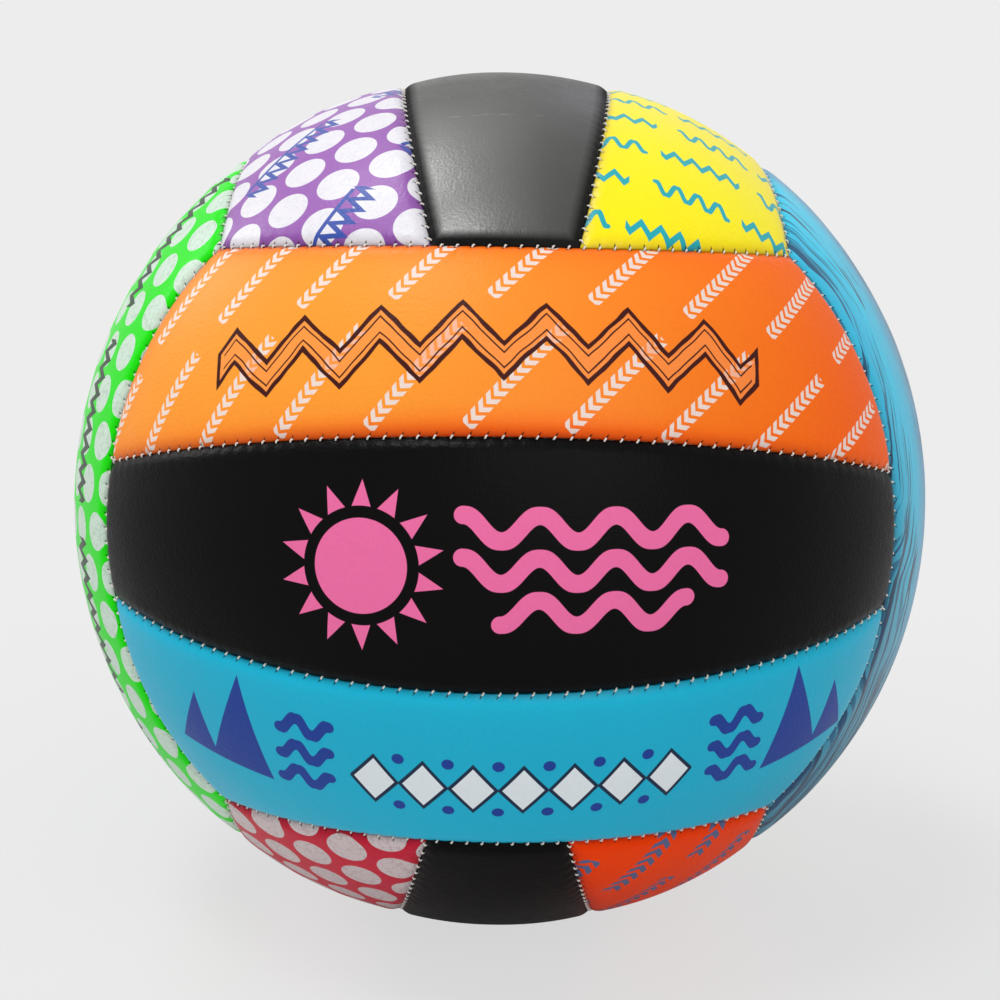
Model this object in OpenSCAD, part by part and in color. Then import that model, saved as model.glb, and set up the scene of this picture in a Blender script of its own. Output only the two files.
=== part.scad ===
// Stitched beach volleyball: a padded cover of eighteen panels, its seams, a bladder and a needle valve.
// The ball's centre is the origin, +Z is up, and the front face looks along -Y.
// Six faces hold three strips each. The strips of one face end against the long edge of the next face.

/* [Ball] */
// Diameter over the crowns of the panels
ball_d = 213; // [190:1:230]

/* [Cover] */
// Thickness of the outer skin
skin_t = 0.8; // [0.6:0.1:1.2]
// Thickness of the foam under the crown of a panel
foam_t = 2.6; // [2.2:0.1:4]
// Thickness of the cloth lining
lining_t = 0.4; // [0.2:0.1:0.8]
// Glue line between two layers of the cover
glue_t = 0.15; // [0.1:0.05:0.3]

/* [Panels] */
// Tilt of the two seams beside a middle strip, in degrees
strip_tilt = 13.6; // [11:0.2:16]
// Fall of a panel from its crown to its edge roll
crown_drop = 0.5; // [0.3:0.1:1.5]
// Width of the swelling beside each seam
crown_w = 20; // [14:1:24]
// Fall of the edge roll into the seam
roll_drop = 1; // [0.6:0.1:1.6]
// Width of the edge roll
roll_w = 3; // [2.5:0.25:5]
// Gap between the turned-in edges of two panels
seam_gap = 0.5; // [0.4:0.05:0.8]

/* [Seam thread] */
// Thickness of the sewing thread
thread_d = 0.7; // [0.4:0.05:1]
// Clearance of the thread above the turned-in edges
thread_lift = 0.15; // [0.1:0.05:0.3]

/* [Bladder] */
// Wall of the bladder
bladder_t = 0.8; // [0.5:0.1:1.5]
// Gap between the bladder and the lining
bladder_gap = 0.3; // [0.2:0.05:0.6]

/* [Valve] */
// Diameter of the neck that stands in the hole of the cover
neck_d = 9; // [8.5:0.5:12]
// Gap around the neck in the cover
neck_gap = 0.3; // [0.1:0.05:0.6]
// Depth of the valve's face below the panel
valve_sink = 0.6; // [0.2:0.1:1]
// Length of the housing from its face to its inner end
housing_len = 19; // [17.5:0.5:26]
// Diameter of the flange inside the bladder
flange_d = 30; // [20:1:40]
// Thickness of the flange
flange_t = 1.2; // [0.8:0.1:2]
// Bevel around the housing's inner end
housing_bevel = 1.2; // [0.5:0.1:2]
// Diameter of the air hole in the housing's inner end
air_hole_d = 1.6; // [1:0.1:2.4]
// Diameter of the plug's stem
plug_d = 4.6; // [4:0.1:5.4]
// Length of the plug under its head
plug_len = 15; // [12.5:0.5:16]
// Diameter of the plug's head
head_d = 6.6; // [6:0.1:7.4]
// Thickness of the plug's head
head_t = 1.2; // [0.8:0.1:2]
// Bevel around the plug's tip
tip_bevel = 0.8; // [0.3:0.1:1.2]
// Running gap around the plug
plug_gap = 0.05; // [0.03:0.01:0.1]
// Diameter of the needle hole
needle_d = 2.1; // [1.8:0.1:2.6]
// Depth of the needle hole
needle_depth = 10; // [8:0.5:11]
// Width of the self-sealing slit
slit_w = 2; // [1:0.1:2.5]
// Opening of the slit
slit_t = 0.15; // [0.1:0.05:0.3]

/* [Hidden] */
$fn = 96;
// Cuts run past the surface by this much
overrun = 1;
// Cells of a panel along its length and across its width, between the edge rolls
cells_along = 12;
cells_across = 4;

ball_r = ball_d / 2;
// Three faces meet at each corner of a cube, so every outer seam lies at this share of the radius
corner_share = 1 / sqrt(3);
corner_angle = asin(corner_share);
tilt_slope = tan(strip_tilt);
// Half the angle that an inner seam spans, seen from the centre
inner_span = acos(corner_share / cos(strip_tilt));
// Half the angle that an outer seam spans, seen from the middle of its circle
outer_span = 45;

// Angle at the centre for a length along the ball
function span_angle(length) = length / ball_r * 180 / PI;

// The largest cell of a panel falls this far inside its sphere
widest_strip = max(strip_tilt * 2, corner_angle - strip_tilt);
cell_angle = norm([inner_span * 2 / cells_along, widest_strip / cells_across]);
facet_sag = ball_r * (1 - cos(cell_angle / 2));

foam_in_r = ball_r - skin_t - foam_t;
lining_out_r = foam_in_r - facet_sag - glue_t;
lining_in_r = lining_out_r - lining_t;
bladder_out_r = lining_in_r - bladder_gap;
bladder_in_r = bladder_out_r - bladder_t;

// Distances from the middle of a seam to the edges of the layers
skin_edge = seam_gap / 2;
hem_edge = skin_edge + skin_t;
lining_edge = hem_edge + facet_sag + glue_t;

// The name of each face, its turn from the front face, and its strips from one long edge to the other
FACES = [
    ["front", [0, 0, 0], ["lower", "middle", "upper"]],
    ["back", [0, 0, 180], ["lower", "middle", "upper"]],
    ["top", [-90, 0, -90], ["left", "middle", "right"]],
    ["bottom", [90, 0, 90], ["left", "middle", "right"]],
    ["left", [0, 90, -90], ["back", "middle", "front"]],
    ["right", [0, 90, 90], ["front", "middle", "back"]],
];
STRIPS = [0, 1, 2];
MIDDLE_STRIP = 1;
VALVE_FACE = "back";

SKIN_COLOURS = [
    ["front", ["deepskyblue", "black", "darkorange"]],
    ["back", ["deepskyblue", "black", "darkorange"]],
    ["top", ["darkorchid", "black", "yellow"]],
    ["bottom", ["crimson", "black", "orangered"]],
    ["left", ["skyblue", "black", "limegreen"]],
    ["right", ["skyblue", "black", "limegreen"]],
];

function strip_name(face, strip, layer) = str(face[0], "_", face[2][strip], "_", layer);
function face_name(face, layer) = str(face[0], "_", layer);

// Directions on a face are [along, outward, across]. A row of a panel lies in the plane
// across = slope * outward + offset, and runs until outward falls to the height of the end seam.

// The plane of seam 0 to 3, counted across the face, moved into the strip by an inset angle
function seam_plane(seam, inset) =
    seam == 0 ? [0, -sin(corner_angle - inset)] :
    seam == 3 ? [0, sin(corner_angle + inset)] :
    seam == 1 ? [-tilt_slope, sin(inset) / cos(strip_tilt)] :
    [tilt_slope, sin(inset) / cos(strip_tilt)];

function row_plane(strip, share, inset) =
    (1 - share) * seam_plane(strip, inset) + share * seam_plane(strip + 1, -inset);

// Half the angle along a row, from its middle to the end seam
function row_radius(plane) = sqrt(1 - plane[1] * plane[1] / (1 + plane[0] * plane[0]));
function row_end(plane, inset) =
    let (
        outward = sin(corner_angle + inset),
        across = plane[0] * outward + plane[1]
    )
    asin(min(1, sqrt(1 - outward * outward - across * across) / row_radius(plane)));

// The direction at an angle along a row
function row_direction(plane, angle) =
    let (
        along = row_radius(plane) * sin(angle),
        square = 1 + plane[0] * plane[0],
        product = plane[0] * plane[1],
        rest = plane[1] * plane[1] + along * along - 1,
        outward = (-product + sqrt(product * product - square * rest)) / square
    )
    [along, outward, plane[0] * outward + plane[1]];

// Distance along the ball from a direction to one of the seams across the face, and to the end seam
function seam_distance(seam, direction) =
    let (plane = seam_plane(seam, 0))
    ball_r * PI / 180 * abs(
        seam == 0 || seam == 3 ? asin(direction[2]) - asin(plane[1]) :
        asin((direction[2] - plane[0] * direction[1]) * cos(strip_tilt))
    );
function end_distance(direction) =
    ball_r * PI / 180 * abs(asin(direction[1]) - corner_angle);

// A panel stands at its full height away from the seams and falls to nothing at them
function fall_share(distance, width) = pow(max(0, 1 - distance / width), 2);
function height_share(distance) =
    1 - (crown_drop * fall_share(distance, crown_w) + roll_drop * fall_share(distance, roll_w))
    / (crown_drop + roll_drop);
function outer_radius(strip, direction) =
    ball_r - (crown_drop + roll_drop) * (1 -
        height_share(seam_distance(strip, direction))
        * height_share(seam_distance(strip + 1, direction))
        * height_share(end_distance(direction)));

// Radii of the outer surface at the turned-in edge and at the inner side of the edge roll
edge_r = ball_r - (crown_drop + roll_drop) * (1 - height_share(skin_edge));
roll_r = ball_r - crown_drop * fall_share(roll_w, crown_w);
// The foam ends where it meets the slope of the turned-in edge
foam_edge = hem_edge + glue_t
    + (roll_w - hem_edge) * (foam_in_r - lining_out_r) / (roll_r - skin_t - lining_out_r);

// Shares across and angles along a panel: the border, the edge roll and even cells between
rows = cells_across + 3;
columns = cells_along + 3;
strip_width = [corner_angle - strip_tilt, strip_tilt * 2, corner_angle - strip_tilt];
function row_share(strip, row) =
    let (roll = span_angle(roll_w) / strip_width[strip])
    row == 0 ? 0 :
    row == rows - 1 ? 1 :
    roll + (1 - 2 * roll) * (row - 1) / cells_across;
function column_angle(plane, column, inset) =
    let (
        end = row_end(plane, inset),
        roll = span_angle(roll_w) / row_radius(plane)
    )
    column == 0 ? -end :
    column == columns - 1 ? end :
    (end - roll) * (2 * (column - 1) / cells_along - 1);

function on_border(row, column) = row == 0 || row == rows - 1 || column == 0 || column == columns - 1;

// The direction of each grid point, with its border moved in from the seams
function grid_directions(strip, edge) = [
    for (row = [0 : rows - 1]) for (column = [0 : columns - 1])
        let (
            inset = on_border(row, column) ? span_angle(edge) : 0,
            plane = row_plane(strip, row_share(strip, row), inset)
        )
        row_direction(plane, column_angle(plane, column, inset))
];

// A direction on the front face as a place in the ball
function place(direction, radius) = radius * [direction[0], -direction[1], direction[2]];

// The numbers of the grid's border points, once round
border = concat(
    [for (column = [0 : columns - 2]) column],
    [for (row = [0 : rows - 2]) row * columns + columns - 1],
    [for (column = [columns - 1 : -1 : 1]) (rows - 1) * columns + column],
    [for (row = [rows - 1 : -1 : 1]) row * columns]
);
grid_size = rows * columns;
border_size = len(border);

// Two triangles between neighbouring pairs of points
function quad(a, b, c, d) = [[a, b, c], [a, c, d]];
// The diagonals of the cells run out from the middle of the panel to its four corners
function cell_faces(row, column, a) =
    (row < rows / 2 - 1) == (column < columns / 2 - 1) ?
        quad(a, a + columns, a + columns + 1, a + 1) :
        quad(a + columns, a + columns + 1, a + 1, a);
function reversed(triangle) = [triangle[2], triangle[1], triangle[0]];
function grid_faces(first, outside) = [
    for (row = [0 : rows - 2]) for (column = [0 : columns - 2])
        for (triangle = cell_faces(row, column, first + row * columns + column))
            outside ? triangle : reversed(triangle)
];
// A band between two closed rings of point numbers
function ring_faces(upper, lower) = [
    for (i = [0 : border_size - 1])
        let (j = (i + 1) % border_size)
        for (triangle = quad(upper[i], upper[j], lower[j], lower[i])) triangle
];

// The skin is a shallow tray: its border turns in towards the centre and ends at the lining
module skin_tray(strip) {
    outer = grid_directions(strip, skin_edge);
    inner = grid_directions(strip, hem_edge);
    lower = grid_size * 2;
    points = concat(
        [for (direction = outer) place(direction, outer_radius(strip, direction))],
        [for (row = [0 : rows - 1]) for (column = [0 : columns - 1])
            let (direction = inner[row * columns + column])
            place(direction, on_border(row, column) ? lining_out_r :
                outer_radius(strip, direction) - skin_t)],
        [for (number = border) place(outer[number], lining_out_r)]
    );
    outer_ring = border;
    inner_ring = [for (number = border) grid_size + number];
    lower_ring = [for (i = [0 : border_size - 1]) lower + i];
    polyhedron(points, concat(
        grid_faces(0, true),
        grid_faces(grid_size, false),
        ring_faces(outer_ring, lower_ring),
        ring_faces(lower_ring, inner_ring)
    ), convexity = 4);
}

// The foam fills the tray and thins out to its border, where the stitching squeezes it
module foam_pad(strip) {
    outer = grid_directions(strip, foam_edge);
    points = concat(
        [for (row = [0 : rows - 1]) for (column = [0 : columns - 1])
            let (direction = outer[row * columns + column])
            place(direction, on_border(row, column) ? foam_in_r :
                outer_radius(strip, direction) - skin_t - glue_t)],
        [for (direction = outer) place(direction, foam_in_r)]
    );
    // The inner grid shares the border points of the outer grid
    inner = [
        for (triangle = grid_faces(0, false))
            [for (number = triangle)
                on_border(floor(number / columns), number % columns) ? number : grid_size + number]
    ];
    polyhedron(points, concat(grid_faces(0, true), inner), convexity = 4);
}

// A cone with its point at the centre of the ball
module centre_cone(half_angle) {
    cylinder(h = ball_r, r1 = 0, r2 = ball_r * tan(half_angle));
}

// Everything between the inner seams, or between an inner seam and the long edge of the face
module strip_wedge(strip, edge) {
    seat = edge / cos(strip_tilt);
    far = ball_r;
    middle = [[seat / tilt_slope, 0], [far, far * tilt_slope - seat], [far, seat - far * tilt_slope]];
    side = [[0, seat], [far, far * tilt_slope + seat], [far, far], [0, far]];
    rotate([90, 0, -90])
        linear_extrude(height = 2 * ball_r, center = true)
            polygon(strip == MIDDLE_STRIP ? middle : side);
}

// One strip of cloth, cut from a thin sphere by the seams
module lining_strip(strip) {
    inset = span_angle(lining_edge);
    mirror([0, 0, strip == 0 ? 1 : 0])
        difference() {
            intersection() {
                difference() {
                    sphere(r = lining_out_r);
                    sphere(r = lining_in_r);
                }
                strip_wedge(strip, lining_edge);
                rotate([90, 0, 0]) centre_cone(90 - corner_angle - inset);
            }
            if (strip != MIDDLE_STRIP) centre_cone(90 - corner_angle + inset);
        }
}

// A hole through the cover on the axis of the valve
module valve_hole() {
    rotate([90, 0, 0]) cylinder(h = ball_r + overrun, d = neck_d + 2 * neck_gap);
}

function has_valve(face, strip) = face[0] == VALVE_FACE && strip == MIDDLE_STRIP;

module panel_layer(face, strip) {
    rotate(face[1])
        difference() {
            children();
            if (has_valve(face, strip)) valve_hole();
        }
}

function colour_of(face, strip) =
    [for (entry = SKIN_COLOURS) if (entry[0] == face[0]) entry[1][strip]][0];

module skin(face, strip) {
    color(colour_of(face, strip)) panel_layer(face, strip) skin_tray(strip);
}

module foam(face, strip) {
    color("whitesmoke") panel_layer(face, strip) foam_pad(strip);
}

module lining(face) {
    color("linen")
        for (strip = STRIPS) panel_layer(face, strip) lining_strip(strip);
}

// The thread lies along the bottom of a seam and stops short of the thread that it meets
module thread_arc(plane_share, half_angle) {
    thread_r = edge_r + thread_lift + thread_d / 2;
    circle_r = thread_r * sqrt(1 - plane_share * plane_share);
    trim = thread_d / circle_r * 180 / PI;
    translate([0, 0, thread_r * plane_share])
        rotate([0, 0, -90 - half_angle + trim])
            rotate_extrude(angle = 2 * (half_angle - trim))
                translate([circle_r, 0]) circle(d = thread_d, $fn = 24);
}

// The threads of the two long edges of a face and of its two inner seams
module thread(face) {
    color("white")
        rotate(face[1])
            for (side = [-1, 1]) {
                thread_arc(side * corner_share, outer_span);
                rotate([side * strip_tilt, 0, 0]) thread_arc(0, inner_span);
            }
}

// Valve pieces are drawn from the valve's face inwards, and stand on the back of the ball
valve_face_y = ball_r - valve_sink;
module on_valve() {
    translate([0, valve_face_y, 0]) rotate([90, 0, 0]) children();
}

module bladder() {
    color("dimgray")
        difference() {
            sphere(r = bladder_out_r);
            sphere(r = bladder_in_r);
            on_valve() cylinder(h = housing_len, d = neck_d + 2 * glue_t);
        }
}

// The flange is bonded to the inside of the bladder, and the neck passes out through the cover
module valve_housing() {
    neck_r = neck_d / 2;
    socket_r = plug_d / 2 + plug_gap;
    color("black")
        difference() {
            union() {
                on_valve() rotate_extrude() polygon([
                    [0, 0], [neck_r, 0], [neck_r, housing_len - housing_bevel],
                    [neck_r - housing_bevel, housing_len], [0, housing_len]
                ]);
                intersection() {
                    difference() {
                        sphere(r = bladder_in_r - glue_t);
                        sphere(r = bladder_in_r - glue_t - flange_t);
                    }
                    on_valve() cylinder(h = housing_len, d = flange_d);
                }
            }
            on_valve() {
                translate([0, 0, -overrun]) cylinder(h = overrun + head_t + plug_gap, d = head_d + 2 * plug_gap);
                cylinder(h = head_t + plug_len + 2 * plug_gap, r = socket_r);
                cylinder(h = housing_len + overrun, d = air_hole_d);
            }
        }
}

// The plug closes itself behind the needle with a slit
module valve_plug() {
    plug_r = plug_d / 2;
    end = head_t + plug_len;
    color("gray")
        on_valve()
            difference() {
                rotate_extrude() polygon([
                    [0, 0], [head_d / 2, 0], [head_d / 2, head_t], [plug_r, head_t],
                    [plug_r, end - tip_bevel], [plug_r - tip_bevel, end], [0, end]
                ]);
                translate([0, 0, -overrun]) cylinder(h = overrun + needle_depth, d = needle_d);
                translate([-slit_w / 2, -slit_t / 2, needle_depth - overrun])
                    cube([slit_w, slit_t, end - needle_depth + 2 * overrun]);
            }
}

for (face = FACES) {
    for (strip = STRIPS) {
        skin(face, strip);
        foam(face, strip);
    }
    lining(face);
    thread(face);
}
bladder();
valve_housing();
valve_plug();
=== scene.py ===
"""The looks of a stitched beach volleyball: leather panels, padding, cloth, stitches and rubber.

Sizes in the geometry are millimetres, and every mesh is scaled to metres as it is made.
"""
import math

import bpy
import numpy as np
from mathutils import Euler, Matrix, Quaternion, Vector


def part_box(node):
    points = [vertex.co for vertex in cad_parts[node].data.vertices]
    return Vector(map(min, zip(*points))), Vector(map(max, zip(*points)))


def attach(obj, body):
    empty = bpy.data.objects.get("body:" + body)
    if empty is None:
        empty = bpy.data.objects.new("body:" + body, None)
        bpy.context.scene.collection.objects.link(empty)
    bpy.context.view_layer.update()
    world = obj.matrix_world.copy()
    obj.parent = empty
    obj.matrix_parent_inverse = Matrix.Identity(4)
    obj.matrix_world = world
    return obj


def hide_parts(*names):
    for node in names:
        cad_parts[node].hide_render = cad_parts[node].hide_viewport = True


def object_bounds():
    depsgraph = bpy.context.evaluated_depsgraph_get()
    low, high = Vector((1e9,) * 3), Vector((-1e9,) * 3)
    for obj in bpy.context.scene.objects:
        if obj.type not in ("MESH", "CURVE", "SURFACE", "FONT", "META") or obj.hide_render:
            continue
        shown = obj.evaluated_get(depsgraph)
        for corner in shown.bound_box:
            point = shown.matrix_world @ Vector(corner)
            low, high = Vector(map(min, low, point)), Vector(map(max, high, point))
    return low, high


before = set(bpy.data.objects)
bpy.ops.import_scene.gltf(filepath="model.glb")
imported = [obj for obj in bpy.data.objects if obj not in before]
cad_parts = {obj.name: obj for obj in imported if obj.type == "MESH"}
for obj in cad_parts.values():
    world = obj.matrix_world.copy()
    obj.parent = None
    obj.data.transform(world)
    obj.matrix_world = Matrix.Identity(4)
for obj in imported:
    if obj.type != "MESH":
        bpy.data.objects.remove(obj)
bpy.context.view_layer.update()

# The ball's sizes in millimetres. Its radii are read from the frame.
MM = 0.001
BALL_R = -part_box("front_middle_skin")[0][1] / MM
LINING_OUT_R = -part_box("front_lining")[0][1] / MM
SKIN_T = 0.8
FOAM_T = 2.6
FOAM_RIM_T = FOAM_T / 8
LINING_T = 0.4
GLUE_T = 0.15
FOAM_IN_R = BALL_R - SKIN_T - FOAM_T
CROWN_DROP = 0.5
CROWN_W = 20
ROLL_DROP = 1
ROLL_W = 3

# The seams: outer ones lie in planes at CORNER_SHARE of the radius, inner ones are tilted great circles
CORNER_SHARE = 1 / math.sqrt(3)
CORNER_ANGLE = math.asin(CORNER_SHARE)
STRIP_TILT = math.radians(13.6)
TILT_SLOPE = math.tan(STRIP_TILT)
STRIP_LEAN = (CORNER_ANGLE + STRIP_TILT) / 2
OUTER_CIRCLE_R = BALL_R * math.sqrt(1 - CORNER_SHARE**2)
INNER_SPAN = math.acos(CORNER_SHARE / math.cos(STRIP_TILT))
OUTER_SPAN = math.pi / 4

# The sewing: odd numbers of stitches, which put one in the middle of each seam. The thread lies some shares
# of its radius over and under the seam, and goes down at four shares of a stitch's reach. Then come the
# painted shade in the notch beside each stitch, the pucker that it pulls, the small folds and the filling's
# swell.
INNER_STITCHES = 61
OUTER_STITCHES = 43
INNER_PITCH = 2 * INNER_SPAN * BALL_R / INNER_STITCHES
OUTER_PITCH = 2 * OUTER_SPAN * OUTER_CIRCLE_R / OUTER_STITCHES
THREAD_R = 0.2
THREAD_LIFT_SHARE = 1.3
THREAD_DEPTH_SHARE = 2.4
STITCH_SHARES = (0.4, 0.75, 1.05, 1.15)
STITCH_REACH = 0.36
STITCH_SLANT = 0.22
NOTCH_HALF_W = 0.2
NOTCH_HALF_L = 0.48
PUCKER = 0.24
PUCKER_W = 1.3
WRINKLE = 0.06
WRINKLE_W = 5
SWELL = 0.12

# The small folds' scales, the directions of the filling's swell, and how far each panel and seam shifts them
FOLD_SCALES = (2.3, 5.1, 11)
SWELL_WAYS = ((9, 4, 7), (-5, 8, 13))
PANEL_PHASE = 1.7
SEAM_PHASE = 2.3
SWELL_PHASE = 2.1

# Distances of the mesh's rings from the seam, the cells along and across a strip at its rings, how much
# coarser the middle of a panel and its inner layers are, and the cells in which a flat area is added up
EDGE_STEPS = (0.05, 0.18, 0.36, 0.6, 0.9, 1.3, 1.8, 2.4, 3.1, 4.0, 5.2, 6.8)
COARSE_STEPS = (8.8, 11.0)
CELLS_ALONG = 360
CELLS_ACROSS = (96, 56, 96)
COARSE = 4
AREA_CELLS_ALONG = 160
AREA_CELLS_ACROSS = 40

# The valve's hole through the middle strip of one face: half the side of the square of cells that it takes
# out, the shares of the way from that square to its circle, and how its edge rolls in
VALVE_FACE = "back"
HOLE_R = 4.8
HOLE_CELLS = 4
HOLE_STEP_SHARES = (0.3, 0.55, 0.75, 0.9, 1.0)
HOLE_ROLL = 0.3
HOLE_ROLL_W = 1.2

# How each face is turned, in degrees, from the front one, and its strips in their order across it.
# Directions on a face are [along, outward, across]: on the front one they point right, forwards and up.
FACES = {
    "front": ((0, 0, 0), ("lower", "middle", "upper")),
    "back": ((0, 0, 180), ("lower", "middle", "upper")),
    "top": ((-90, 0, -90), ("left", "middle", "right")),
    "bottom": ((90, 0, 90), ("left", "middle", "right")),
    "left": ((0, 90, -90), ("back", "middle", "front")),
    "right": ((0, 90, 90), ("front", "middle", "back")),
}
MIDDLE = 1


def seam_plane(seam, inset):
    """Slope and offset of the plane of seam 0 to 3 across a face, moved into the strip by an angle."""
    if seam == 0:
        return 0.0, -np.sin(CORNER_ANGLE - inset)
    if seam == 3:
        return 0.0, np.sin(CORNER_ANGLE + inset)
    slope = -TILT_SLOPE if seam == 1 else TILT_SLOPE
    return slope, np.sin(inset) / math.cos(STRIP_TILT)


def direction(strip, share, run, inset):
    """Directions at a share of 0 to 1 across a strip and a run of -1 to 1 along it, moved in by inset."""
    angle = inset / BALL_R
    low_slope, low_offset = seam_plane(strip, angle)
    high_slope, high_offset = seam_plane(strip + 1, -angle)
    slope = (1 - share) * low_slope + share * high_slope
    offset = (1 - share) * low_offset + share * high_offset
    radius = np.sqrt(1 - offset**2 / (1 + slope**2))
    end_outward = np.sin(CORNER_ANGLE + angle)
    end_across = slope * end_outward + offset
    end = np.arcsin(np.minimum(1, np.sqrt(1 - end_outward**2 - end_across**2) / radius))
    along = radius * np.sin(run * end)
    square = 1 + slope**2
    product = slope * offset
    outward = (-product + np.sqrt(product**2 - square * (offset**2 + along**2 - 1))) / square
    return np.stack([along, outward, slope * outward + offset], -1)


def seam_places(strip, places):
    """(distance from it, place along it, pitch of its stitches) for the three seams round a strip."""
    along, outward, across = places.T
    found = []
    for seam in (strip, strip + 1):
        if seam in (0, 3):
            plane = -CORNER_ANGLE if seam == 0 else CORNER_ANGLE
            distance = BALL_R * np.abs(np.arcsin(across) - plane)
            found.append((distance, OUTER_CIRCLE_R * np.arctan2(along, outward), OUTER_PITCH))
        else:
            lean = STRIP_TILT * (-1 if seam == 1 else 1)
            distance = BALL_R * np.abs(np.arcsin(across * math.cos(lean) - outward * math.sin(lean)))
            level = outward * math.cos(lean) + across * math.sin(lean)
            found.append((distance, BALL_R * np.arctan2(along, level), INNER_PITCH))
    distance = BALL_R * np.abs(np.arcsin(outward) - CORNER_ANGLE)
    found.append((distance, OUTER_CIRCLE_R * np.arctan2(across, np.abs(along)), OUTER_PITCH))
    return found


def fall_share(distance, width):
    return np.maximum(0, 1 - distance / width) ** 2


def crown(strip, places):
    """Radius of the panel's outer surface before the sewing pulls at it."""
    drop = CROWN_DROP + ROLL_DROP
    height = 1.0
    for distance, _, _ in seam_places(strip, places):
        fall = CROWN_DROP * fall_share(distance, CROWN_W) + ROLL_DROP * fall_share(distance, ROLL_W)
        height = height * (1 - fall / drop)
    return BALL_R - drop * (1 - height)


def sewn(strip, places, seed):
    """How far stitches, small folds and the filling move the outer surface from its crown."""
    shift = 0.0
    for number, (distance, place, pitch) in enumerate(seam_places(strip, places)):
        stitch = (0.5 + 0.5 * np.cos(2 * np.pi * place / pitch)) ** 2
        shift = shift - PUCKER * stitch * np.exp(-distance / PUCKER_W)
        phase = seed * PANEL_PHASE + number * SEAM_PHASE
        short, middle, long = (place / scale for scale in FOLD_SCALES)
        fold = np.sin(short + phase) * np.sin(long + 2 * phase) + np.sin(middle - phase)
        fade = np.exp(-distance / WRINKLE_W) * np.minimum(1, distance / ROLL_W)
        shift = shift + WRINKLE * fold * fade
    one, other = SWELL_WAYS
    waves = np.sin(places @ one + seed) + np.sin(places @ other + SWELL_PHASE * seed)
    away = np.minimum(1, seam_places(strip, places)[2][0] / CROWN_W)
    return shift + SWELL / 2 * waves * away


def seam_distance(strip, places):
    return np.minimum.reduce([distance for distance, _, _ in seam_places(strip, places)])


def stitch_place(strip, places):
    """The place along the nearest seam, in stitches. Whole numbers lie at a stitch."""
    seams = seam_places(strip, places)
    slopes = np.array([1, -1, 0]) * STITCH_SLANT / STITCH_REACH
    steps = np.stack([
        (place - slope * distance) / pitch
        for (distance, place, pitch), slope in zip(seams, slopes)
    ])
    nearest = np.argmin([distance for distance, _, _ in seams], axis=0)
    return steps[nearest, np.arange(len(places))]


def print_place(strip, places):
    """Flat coordinates of the print in millimetres, from the middle of the strip."""
    along, outward, across = places.T
    lean = (strip - MIDDLE) * STRIP_LEAN
    level = outward * math.cos(lean) + across * math.sin(lean)
    return np.stack([
        BALL_R * np.arctan2(along, level),
        BALL_R * np.arcsin(across * math.cos(lean) - outward * math.sin(lean)),
    ], -1)


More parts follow.
